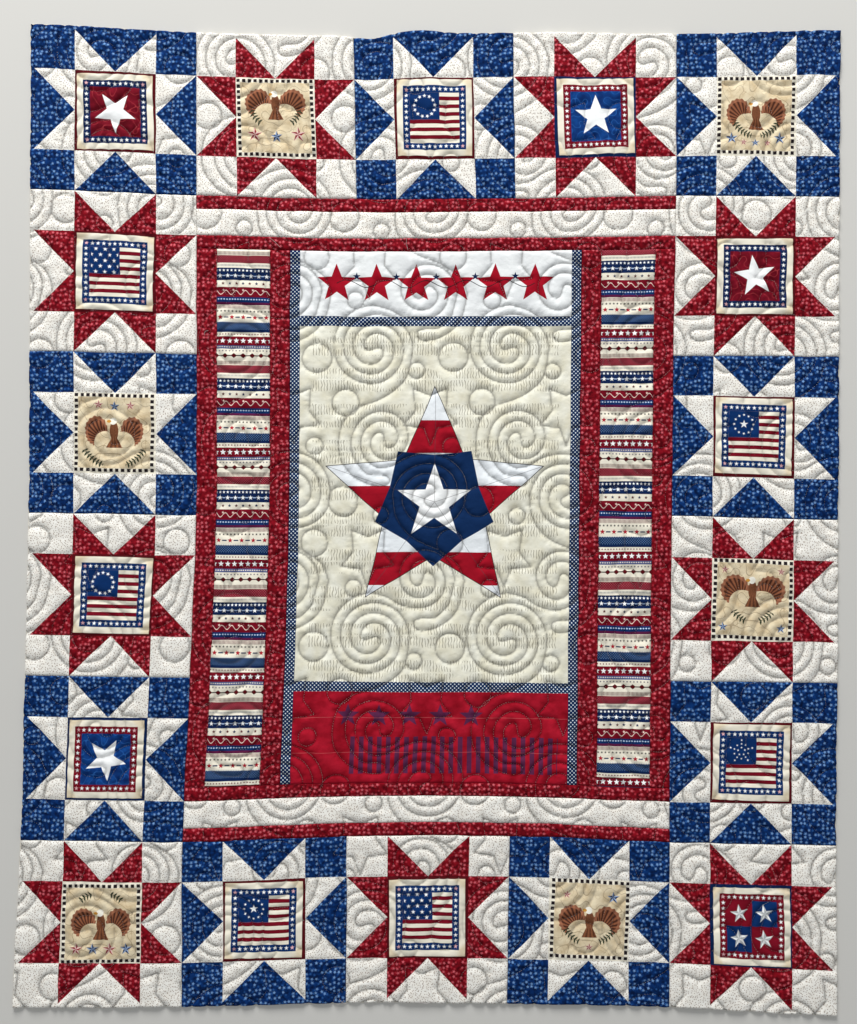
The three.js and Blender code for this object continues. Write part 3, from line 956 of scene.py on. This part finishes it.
# The picture in each block, by its column and row
pictures = {
    "1_1": (starPicture, "red", 180),
    "2_1": (birdPicture, "high"),
    "3_1": (flagPicture, "circle"),
    "4_1": (starPicture, "blue", 0),
    "5_1": (birdPicture, "low"),
    "1_2": (flagPicture, "rows"),
    "5_2": (starPicture, "red", 8),
    "1_3": (birdPicture, "mid"),
    "5_3": (flagPicture, "thirteen"),
    "1_4": (flagPicture, "circle"),
    "5_4": (birdPicture, "wide"),
    "1_5": (starPicture, "blue", 187),
    "5_5": (flagPicture, "cluster"),
    "1_6": (birdPicture, "stars"),
    "2_6": (flagPicture, "thirteen"),
    "3_6": (flagPicture, "rows"),
    "4_6": (birdPicture, "turned"),
    "5_6": (fourPatchPicture,),
}

materials = {
    "blue": tossedPrint("blue"),
    "red": tossedPrint("red"),
    "cream": creamPrint(),
    "backing": plainCloth("unbleached_backing_cotton", dye(226, 220, 204), dye(212, 204, 186)),
    "striped_column_left": stripedPrint("left", -12),
    "striped_column_right": stripedPrint("right", 4),
    "centre_panel": panelPrint(),
}
for place, (maker, *choices) in pictures.items():
    design = (maker.__name__, *choices)
    if design not in materials:
        materials[design] = maker(*choices)
    materials[place] = materials[design]
print("cloths printed")


def indexOf(value):
    return round(value / cell) + edgeCells


# The rim of a piece as lattice indices, anticlockwise from its lower left
def rimOf(i0, j0, i1, j1):
    rim = [(i, j0) for i in range(i0, i1)] + [(i1, j) for j in range(j0, j1)]
    return rim + [(i, j1) for i in range(i1, i0, -1)] + [(i0, j) for j in range(j1, j0, -1)]


def added(name, mesh):
    piece = bpy.data.objects.new(name, mesh)
    bpy.context.scene.collection.objects.link(piece)
    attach(piece, "root")
    return piece


# Side walls, and a far side with larger squares, for a sheet whose corners come in rows
def closeSheet(corners, flat, x, y, height, step):
    tall, across = x.shape
    rim = rimOf(0, 0, across - 1, tall - 1)
    lowX = sorted(set(range(0, across, step)) | {across - 1})
    lowY = sorted(set(range(0, tall, step)) | {tall - 1})
    wanted = list(dict.fromkeys(rim + [(i, j) for j in lowY for i in lowX]))
    low = {place: len(corners) + n for n, place in enumerate(wanted)}
    i, j = np.array(wanted).T
    corners = np.concatenate([corners, np.stack([x[j, i], y[j, i], np.full(len(i), height)], 1)])
    flat = np.concatenate([flat, flat.reshape(tall, across, 2)[j, i]])
    faces = []
    for here, there in zip(rim, rim[1:] + rim[:1]):
        a, b = here[1] * across + here[0], there[1] * across + there[0]
        faces.append([a, low[here], low[there], b])
    for c, d in zip(lowY[:-1], lowY[1:]):
        for a, b in zip(lowX[:-1], lowX[1:]):
            square = [(i, c) for i in (range(a, b) if c == 0 else (a,))]
            square += [(b, j) for j in (range(c, d) if b == across - 1 else (c,))]
            square += [(i, d) for i in (range(b, a, -1) if d == tall - 1 else (b,))]
            square += [(a, j) for j in (range(d, c, -1) if a == 0 else (d,))]
            faces.append([low[place] for place in reversed(square)])
    return corners, flat, np.array(rim), faces


# The squares between corners that come in rows
def squaresOf(tall, across):
    ids = np.arange(tall * across).reshape(tall, across)
    return np.stack([ids[:-1, :-1], ids[:-1, 1:], ids[1:, 1:], ids[1:, :-1]], -1).reshape(-1, 4)


def fill(target, key, values):
    target.foreach_set(key, values.astype(np.float32).ravel())


def loopsOf(mesh):
    vertex = np.zeros(len(mesh.loops), np.int32)
    mesh.loops.foreach_get("vertex_index", vertex)
    total = np.zeros(len(mesh.polygons), np.int32)
    mesh.polygons.foreach_get("loop_total", total)
    return vertex, np.repeat(np.arange(len(total)), total)


# The OFBake map: the main side over most of it, the walls as its rim, and the far side in a strip above
def bakeMap(mesh, flat, isMain):
    vertex, face = loopsOf(mesh)
    spot = ((flat - flat.min(0)) / (flat.max(0) - flat.min(0)))[vertex]
    main = isMain[vertex]
    share = (np.bincount(face, main) / np.bincount(face))[face]
    uv = 0.012 + 0.976 * spot * (1, 0.95)
    outwards = np.sign(spot - 0.5) * (abs(spot - 0.5) > 0.4999)
    uv += 0.008 * outwards * (~main)[:, None]
    far = share == 0
    uv[far] = (0.012, 0.962) + (0.976, 0.03) * spot[far]
    fill(mesh.uv_layers.new(name="OFBake").uv, "vector", uv)


def clothMesh(name, corners, faces, cloths, smoothFaces):
    mesh = bpy.data.meshes.new(name)
    mesh.from_pydata(corners.tolist(), [], faces)
    for cloth in cloths:
        mesh.materials.append(materials[cloth])
    mesh.polygons.foreach_set("use_smooth", np.arange(len(faces)) < smoothFaces)
    return mesh


# Both maps, and how deep each corner lies in a stitched groove, which the shader turns into painted shade
def mapCloth(mesh, uv, flat, depths):
    fill(mesh.uv_layers.new(name="cloth").uv, "vector", uv)
    bakeMap(mesh, flat, np.arange(len(flat)) < depths.size)
    values = np.concatenate([depths.ravel(), np.zeros(len(flat) - depths.size)])
    fill(mesh.attributes.new("groove", "FLOAT", "POINT").data, "value", values)
    mesh.update()


def topPiece(name, left, bottom, right, top, slotOf, clothNames):
    outer = {"left": left == 0, "right": right == planWide, "bottom": bottom == 0, "top": top == planHigh}
    i0, i1 = indexOf(left - edge * outer["left"]), indexOf(right + edge * outer["right"])
    j0, j1 = indexOf(bottom - edge * outer["bottom"]), indexOf(top + edge * outer["top"])
    window = (slice(j0, j1 + 1), slice(i0, i1 + 1))
    x, y, z = laidX[window].copy(), laidY[window].copy(), clothZ[window].copy()
    gap = 0.00015
    x[:, 0] += 0 if outer["left"] else gap
    x[:, -1] -= 0 if outer["right"] else gap
    y[0] += 0 if outer["bottom"] else gap
    y[-1] -= 0 if outer["top"] else gap
    corners = np.stack([x.ravel(), y.ravel(), z.ravel()], 1)
    flat = np.stack([clothX[window].ravel(), clothY[window].ravel()], 1)

    # The face: squares, and two triangles wherever a star's diagonal seam or a quilted line crosses a square
    squares = squaresOf(*x.shape)
    middleX = (latticeX[window][:-1, :-1] + cell / 2).ravel()
    middleY = (latticeY[window][:-1, :-1] + cell / 2).ravel()
    crossed, rising = diagonals(middleX, middleY, left, bottom, "block" in name)
    a, b, c, d = squares.T
    ditch = away[window].ravel() < 0.3
    up, down = ditch[a] & ditch[c], ditch[b] & ditch[d]
    folded = (up != down) & ~crossed
    rising[folded] = up[folded]
    crossed |= folded
    parts = [(squares[~crossed], middleX[~crossed], middleY[~crossed])]
    # Rising: the lower right half is a b c and the upper left a c d. Falling: a b d and b c d
    up = rising[crossed]
    a, b, c, d = squares[crossed].T
    for offset, half in ((cell / 6, (a, b, np.where(up, c, d))), (-cell / 6, (np.where(up, a, b), c, d))):
        aside = np.where(up, offset, -offset)
        parts.append((np.stack(half, 1), middleX[crossed] + aside, middleY[crossed] - offset))
    faces, slots, patches = [], [], []
    for part, partX, partY in parts:
        slot, patch = slotOf(partX, partY)
        faces += part.tolist()
        slots += slot.tolist()
        patches += patch.tolist()

    faceCount = len(faces)
    corners, flat, rim, others = closeSheet(corners, flat, x, y, relief["underside"], plan["under"])
    rimSlot, _ = slotOf(
        np.clip(clothX[window][rim[:, 1], rim[:, 0]], left + 0.01, right - 0.01),
        np.clip(clothY[window][rim[:, 1], rim[:, 0]], bottom + 0.01, top - 0.01),
    )
    faces += others
    slots += rimSlot.tolist() + [0] * (len(others) - len(rim))

    mesh = clothMesh(name, corners, faces, clothNames, faceCount)
    mesh.polygons.foreach_set("material_index", np.array(slots, np.int32))

    # The cloth's own flat coordinates, from a different part of the cloth in every patch
    loopVertex, loopFace = loopsOf(mesh)
    patchOfLoop = np.concatenate([np.array(patches), np.full(len(faces) - faceCount, -1)])[loopFace]
    centre = ((left + right) / 2, (bottom + top) / 2)
    uv = (flat[loopVertex] - centre) * inch
    shift, turn = patchShift(patchOfLoop, name)
    isPicture = (patchOfLoop == 0)[:, None] & ("block" in name)
    mapCloth(mesh, np.where(isPicture, uv @ turn, uv) + shift, flat, groove[window])
    piece = added(name + "_cloth", mesh)
    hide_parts(name)
    flatSize = ((i1 - i0) * cell * inch, (j1 - j0) * cell * inch)
    return piece, flatSize


# Which squares a star's diagonal seams cross, and which of these seams rise to the right
def diagonals(x, y, left, bottom, isBlock):
    middle = block / 2
    u, v = x - left, y - bottom
    insideX, insideY, depth, along = placeInBlock(u, v)
    fromSeam = abs(depth - plan["patch"] + abs(along - middle))
    crossed = (insideX != insideY) & (fromSeam < cell / 4) & (depth > 0)
    return crossed & isBlock, (u - middle) * (v - middle) > 0


# Every patch is cut from another part of its cloth. A picture is nearly centred, and nearly straight
def patchShift(patch, name):
    chance = np.random.default_rng(sum(ord(letter) * (n + 3) for n, letter in enumerate(name)))
    table = chance.uniform(-0.4, 0.4, (64, 2))
    table[0] = chance.uniform(-0.0016, 0.0016, 2) * ("block" in name)
    turn = math.radians(chance.uniform(-1.3, 1.3))
    matrix = np.array([[math.cos(turn), math.sin(turn)], [-math.sin(turn), math.cos(turn)]])
    return table[np.clip(patch, 0, 63)], matrix


def buildBlocks():
    for name, left, bottom, right, top in blockPieces():
        colour = name.split("_")[0]
        cloths = [*(("blue", "cream") if colour == "blue" else ("cream", "red")), name[-3:]]

        def slotOf(x, y, left=left, bottom=bottom):
            patch = starPatch(x - left, y - bottom)
            return np.where(patch == 0, 2, np.where(patch > 8, 1, 0)), patch

        piece, flat = topPiece(name, left, bottom, right, top, slotOf, cloths)


centreCloths = {
    "red_strip": (["red"], "red_cotton"),
    "cream_strip": (["cream"], "cream_cotton"),
    "red_rail": (["red"], "red_cotton"),
    "outer_red_stile": (["red"], "red_cotton"),
    "inner_red_stile": (["red"], "red_cotton"),
    "striped_column": ([], "striped_cotton"),
    "centre_panel": ([], "panel_cotton"),
}


def buildCentre():
    for name, left, bottom, right, top in centrePieces():
        cloths, slot = next(value for key, value in centreCloths.items() if name.startswith(key))
        patch = 1 if cloths else 0

        def slotOf(x, y, patch=patch):
            return np.zeros(len(x), int), np.full(len(x), patch)

        piece, flat = topPiece(name, left, bottom, right, top, slotOf, cloths or [name])


backing = {
    "proud": 1.5,  # mm of wadding and backing beyond the top
    "step": 2,  # mesh squares of the top to one of the underside
    "upperStep": 12,  # of those to one of the hidden upper side
}


# The quilting is pressed a little into the underside
def buildBacking():
    step, proud = backing["step"], backing["proud"] * mm
    x, y = clothX[::step, ::step].copy(), clothY[::step, ::step].copy()
    x[:, 0], x[:, -1] = -edge - proud, planWide + edge + proud
    y[0], y[-1] = -edge - proud, planHigh + edge + proud
    placedX, placedY = lay(x, y)
    press = groove[::step, ::step].copy()
    press[0] = press[-1] = press[:, 0] = press[:, -1] = 0
    corners = np.stack([placedX.ravel(), placedY.ravel(), relief["press"] * press.ravel()], 1)
    flat = np.stack([x.ravel(), y.ravel()], 1)
    squares = squaresOf(*x.shape).tolist()
    upperStep = backing["upperStep"]
    corners, flat, _, others = closeSheet(corners, flat, placedX, placedY, relief["backing"], upperStep)
    faces = [face[::-1] for face in squares + others]
    mesh = clothMesh("backing", corners, faces, ["backing"], len(squares))
    vertex, _ = loopsOf(mesh)
    mapCloth(mesh, flat[vertex] * inch, flat, press)
    piece = added("backing_cloth", mesh)
    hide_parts("backing")
    return piece


# The quilting thread, in mm
thread = {
    "stitch": 4.6,  # from one stitch to the next
    "long": 3.6,
    "thick": 0.5,
    "seed": 4,
    "colour": dye(206, 198, 194),
}


def threadMaterial():
    shader = Shader("pale_quilting_thread")
    place = shader.node("ShaderNodeTexCoord", {}, {}, 3)
    tone = shader.node("ShaderNodeTexNoise", {}, {"Vector": place, "Scale": 40.0})
    colour = shader.mix(tone, thread["colour"], dye(176, 166, 164))
    return shader.surface({"Base Color": colour, "Roughness": 0.55, "Specular IOR Level": 0.4})


# Every stitch is a spindle along its part of the line
def stitchNodes():
    group = bpy.data.node_groups.new("stitches", "GeometryNodeTree")
    for name, kind in (("Places", "Geometry"), ("Length", "Float"), ("Thickness", "Float"), ("Seed", "Int")):
        group.interface.new_socket(name, in_out="INPUT", socket_type="NodeSocket" + kind)
    group.interface.new_socket("Thread", in_out="OUTPUT", socket_type="NodeSocketGeometry")
    nodes, links = group.nodes, group.links

    def node(kind, sockets=None, **settings):
        made = nodes.new(kind)
        for key, value in settings.items():
            setattr(made, key, value)
        for key, value in (sockets or {}).items():
            if isinstance(value, bpy.types.NodeSocket):
                links.new(value, made.inputs[key])
            else:
                made.inputs[key].default_value = value
        return made

    given = node("NodeGroupInput").outputs
    spindle = node("GeometryNodeMeshUVSphere", {"Segments": 3, "Rings": 2, "Radius": 0.5})
    along = node("GeometryNodeInputNamedAttribute", {"Name": "along"}, data_type="FLOAT_VECTOR")
    turned = node("FunctionNodeAlignRotationToVector", {"Vector": along.outputs[0]}, axis="Z")
    chance = node("FunctionNodeRandomValue", {"Seed": given["Seed"]}, data_type="FLOAT")
    chance.inputs[2].default_value, chance.inputs[3].default_value = 0.85, 1.1
    tall = node("ShaderNodeMath", {0: given["Length"], 1: chance.outputs[1]}, operation="MULTIPLY")
    thick = given["Thickness"]
    size = node("ShaderNodeCombineXYZ", {"X": thick, "Y": thick, "Z": tall.outputs[0]})
    sockets = {"Points": given["Places"], "Instance": spindle.outputs["Mesh"], "Rotation": turned.outputs[0]}
    stitched = node("GeometryNodeInstanceOnPoints", {**sockets, "Scale": size.outputs[0]})
    real = node("GeometryNodeRealizeInstances", {"Geometry": stitched.outputs[0]})
    dyed = node("GeometryNodeSetMaterial", {"Geometry": real.outputs[0], "Material": materials["thread"]})
    links.new(dyed.outputs[0], node("NodeGroupOutput").inputs[0])
    return group


# The middle of every stitch and its direction, on the cloth in metres
def stitchPlaces():
    starts, ends = [], []
    half = thread["long"] / 2 / thread["stitch"]
    for line in lines:
        middles = np.arange(0.5, distances(line)[-1] / (thread["stitch"] * mm) - 0.5)
        for found, shift in ((starts, -half), (ends, half)):
            found.append(placesAt(line, (middles + shift) * thread["stitch"] * mm))
    starts, ends = np.concatenate(starts), np.concatenate(ends)
    inset = edge - 1.5 * mm
    kept = np.ones(len(starts), bool)
    for found in (starts, ends):
        kept &= (found > -inset).all(1) & (found[:, 0] < planWide + inset) & (found[:, 1] < planHigh + inset)
    laid = []
    for found in (starts[kept], ends[kept]):
        x, y = lay(found[:, 0], found[:, 1])
        laid.append(np.stack([x, y, relief["seam"] + swell(found[:, 0], found[:, 1])], 1))
    return (laid[0] + laid[1]) / 2 + (0, 0, 0.0001), laid[1] - laid[0]


def buildStitches():
    group, made = stitchNodes(), []
    middles, along = stitchPlaces()
    order = np.argsort(-middles[:, 1])
    for n, part in enumerate(np.array_split(order, 2)):
        mesh = bpy.data.meshes.new("stitch_places")
        mesh.from_pydata(middles[part].tolist(), [], [])
        fill(mesh.attributes.new("along", "FLOAT_VECTOR", "POINT").data, "vector", along[part])
        points = bpy.data.objects.new("stitch_places", mesh)
        bpy.context.scene.collection.objects.link(points)
        modifier = points.modifiers.new("stitches", "NODES")
        modifier.node_group = group
        values = {"Length": thread["long"] / 1000, "Thickness": thread["thick"] / 1000}
        values["Seed"] = thread["seed"]
        for item in group.interface.items_tree:
            if item.name in values:
                modifier[item.identifier] = values[item.name]
        evaluated = points.evaluated_get(bpy.context.evaluated_depsgraph_get())
        stitches = bpy.data.meshes.new_from_object(evaluated)
        bpy.data.objects.remove(points)
        faceMap(stitches)
        piece = added(f"quilting_thread_{n + 1}", stitches)
        made.append(piece)
    print(len(middles), "stitches")
    return made


# Where the thread was cut off at the ends of rows: places in inches, directions in degrees, sizes in mm
looseThreads = [
    {"x": 23.5, "y": 0.1, "turn": -62, "long": 17, "bend": 50},
    {"x": 23.9, "y": 0.0, "turn": -128, "long": 19, "bend": -40},
    {"x": 29.4, "y": -0.1, "turn": -38, "long": 24, "bend": 70},
    {"x": 29.9, "y": -0.1, "turn": -140, "long": 15, "bend": -60},
    {"x": 44.8, "y": 0.0, "turn": -100, "long": 14, "bend": 50},
    {"x": 36.4, "y": -0.1, "turn": -20, "long": 12, "bend": 80},
    {"x": 21.1, "y": 71.6, "turn": 95, "long": 20, "bend": 30},
    {"x": 17.4, "y": 56.95, "turn": -32, "long": 27, "bend": -18},
    {"x": 27.75, "y": 57.1, "turn": -96, "long": 24, "bend": 25},
    {"x": 12.9, "y": 49.8, "turn": 170, "long": 14, "bend": 120},
]


def heightAt(x, y):
    i = np.rint(x / cell).astype(int) + edgeCells
    j = np.rint(y / cell).astype(int) + edgeCells
    tall, across = latticeX.shape
    height = clothZ[np.clip(j, 0, tall - 1), np.clip(i, 0, across - 1)]
    return np.where((i < 0) | (j < 0) | (i >= across) | (j >= tall), 0.0, height)


# A thread lies on the cloth, or falls from its edge to the floor
def buildLooseThreads():
    thick, last, corners, faces = 0.00025, 15, [], []
    for loose in looseThreads:
        turn = np.radians(loose["turn"] + loose["bend"] * np.linspace(0, 1, last + 1))
        step = loose["long"] * mm / last
        x, y = loose["x"] + np.cumsum(np.cos(turn)) * step, loose["y"] + np.cumsum(np.sin(turn)) * step
        height = np.maximum(heightAt(x, y), np.maximum(heightAt(x - cell, y), heightAt(x, y + cell)))
        height = np.convolve(np.pad(height, 1, "edge"), np.full(3, 1 / 3), "valid")
        laid = np.stack([*lay(x, y), height + thick * 1.5], 1)
        first = len(corners)
        for n, place in enumerate(laid):
            forward = Vector(laid[min(n + 1, last)] - laid[max(n - 1, 0)]).normalized()
            aside = forward.cross(Vector((0, 0, 1))).normalized()
            over = aside.cross(forward)
            corners += [Vector(place) + way * thick for way in (aside, over, -aside, -over)]
        for n in range(first, first + 4 * last, 4):
            for a, b in ((n, n + 1), (n + 1, n + 2), (n + 2, n + 3), (n + 3, n)):
                faces.append((a, a + 4, b + 4, b))
        end = first + 4 * last
        faces += [(first, first + 1, first + 2, first + 3), (end + 3, end + 2, end + 1, end)]
    mesh = bpy.data.meshes.new("loose_threads")
    mesh.from_pydata(corners, [], faces)
    mesh.materials.append(materials["thread"])
    faceMap(mesh)
    piece = added("loose_threads", mesh)
    return piece


# The OFBake map, with a little square for every face
def faceMap(mesh):
    vertex, face = loopsOf(mesh)
    count = np.arange(len(face))
    corner = count - np.maximum.accumulate(np.where(np.diff(face, prepend=-1) > 0, count, 0))
    side = math.ceil(math.sqrt(len(mesh.polygons)))
    spot = np.array([(0.1, 0.1), (0.9, 0.1), (0.9, 0.9), (0.1, 0.9)])[corner]
    uv = (np.stack([face % side, face // side], 1) + spot) / side
    while mesh.uv_layers:
        mesh.uv_layers.remove(mesh.uv_layers[0])
    fill(mesh.uv_layers.new(name="OFBake").uv, "vector", uv)


materials["thread"] = threadMaterial()
backingCloth = buildBacking()
buildBlocks()
buildCentre()
print("cloths sewn")
threads = buildStitches() + [buildLooseThreads()]
print("quilted")


# A plain pale floor stands in for the room
def floor():
    mesh = bpy.data.meshes.new("floor")
    half = 4
    corners = [(-half, -half, 0), (half, -half, 0), (half, half, 0), (-half, half, 0)]
    mesh.from_pydata(corners, [], [(0, 1, 2, 3)])
    sockets = {"Base Color": dye(206, 204, 198), "Roughness": 0.9}
    mesh.materials.append(Shader("pale_floor").surface(sockets))
    piece = bpy.data.objects.new("floor", mesh)
    piece.location.z = -0.0002
    bpy.context.scene.collection.objects.link(piece)


# Soft daylight from beyond the top edge
light = {
    "elevation": 27,
    "azimuth": 8,  # degrees to the left of the quilt's top
    "away": 6.2,
    "wide": 2.6,
    "power": 455,
    "sky": 0.44,
}


def lamps():
    window = bpy.data.lights.new("window_light", "AREA")
    window.energy = light["power"]
    window.size = light["wide"]
    lamp = bpy.data.objects.new("window_light", window)
    a, e = math.radians(light["azimuth"]), math.radians(light["elevation"])
    towards = Vector((-math.sin(a) * math.cos(e), math.cos(a) * math.cos(e), math.sin(e)))
    lamp.location = towards * light["away"]
    lamp.rotation_euler = towards.to_track_quat("Z", "Y").to_euler()
    bpy.context.scene.collection.objects.link(lamp)
    world = bpy.data.worlds.new("soft_sky")
    world.use_nodes = True
    background = world.node_tree.nodes["Background"]
    background.inputs["Color"].default_value = (0.93, 0.96, 1.0, 1.0)
    background.inputs["Strength"].default_value = light["sky"]
    bpy.context.scene.world = world


camera = {
    "place": (0.0095, -0.0201, 2.028),
    "turn": (0.01407, 0.00466, 0.00934),
    "focal": 1070,  # in pixels of a picture 1024 high
    "pictureHigh": 1024,
    "sensor": 36,
}


def addCamera():
    data = bpy.data.cameras.new("camera")
    data.sensor_fit = "VERTICAL"
    data.sensor_height = data.sensor_width = camera["sensor"]
    data.lens = camera["focal"] / camera["pictureHigh"] * camera["sensor"]
    piece = bpy.data.objects.new("camera", data)
    piece.location = camera["place"]
    piece.rotation_euler = camera["turn"]
    bpy.context.scene.collection.objects.link(piece)
    bpy.context.scene.camera = piece


floor()
lamps()
addCamera()
bpy.context.scene.view_settings.view_transform = "Standard"
print("room lit")
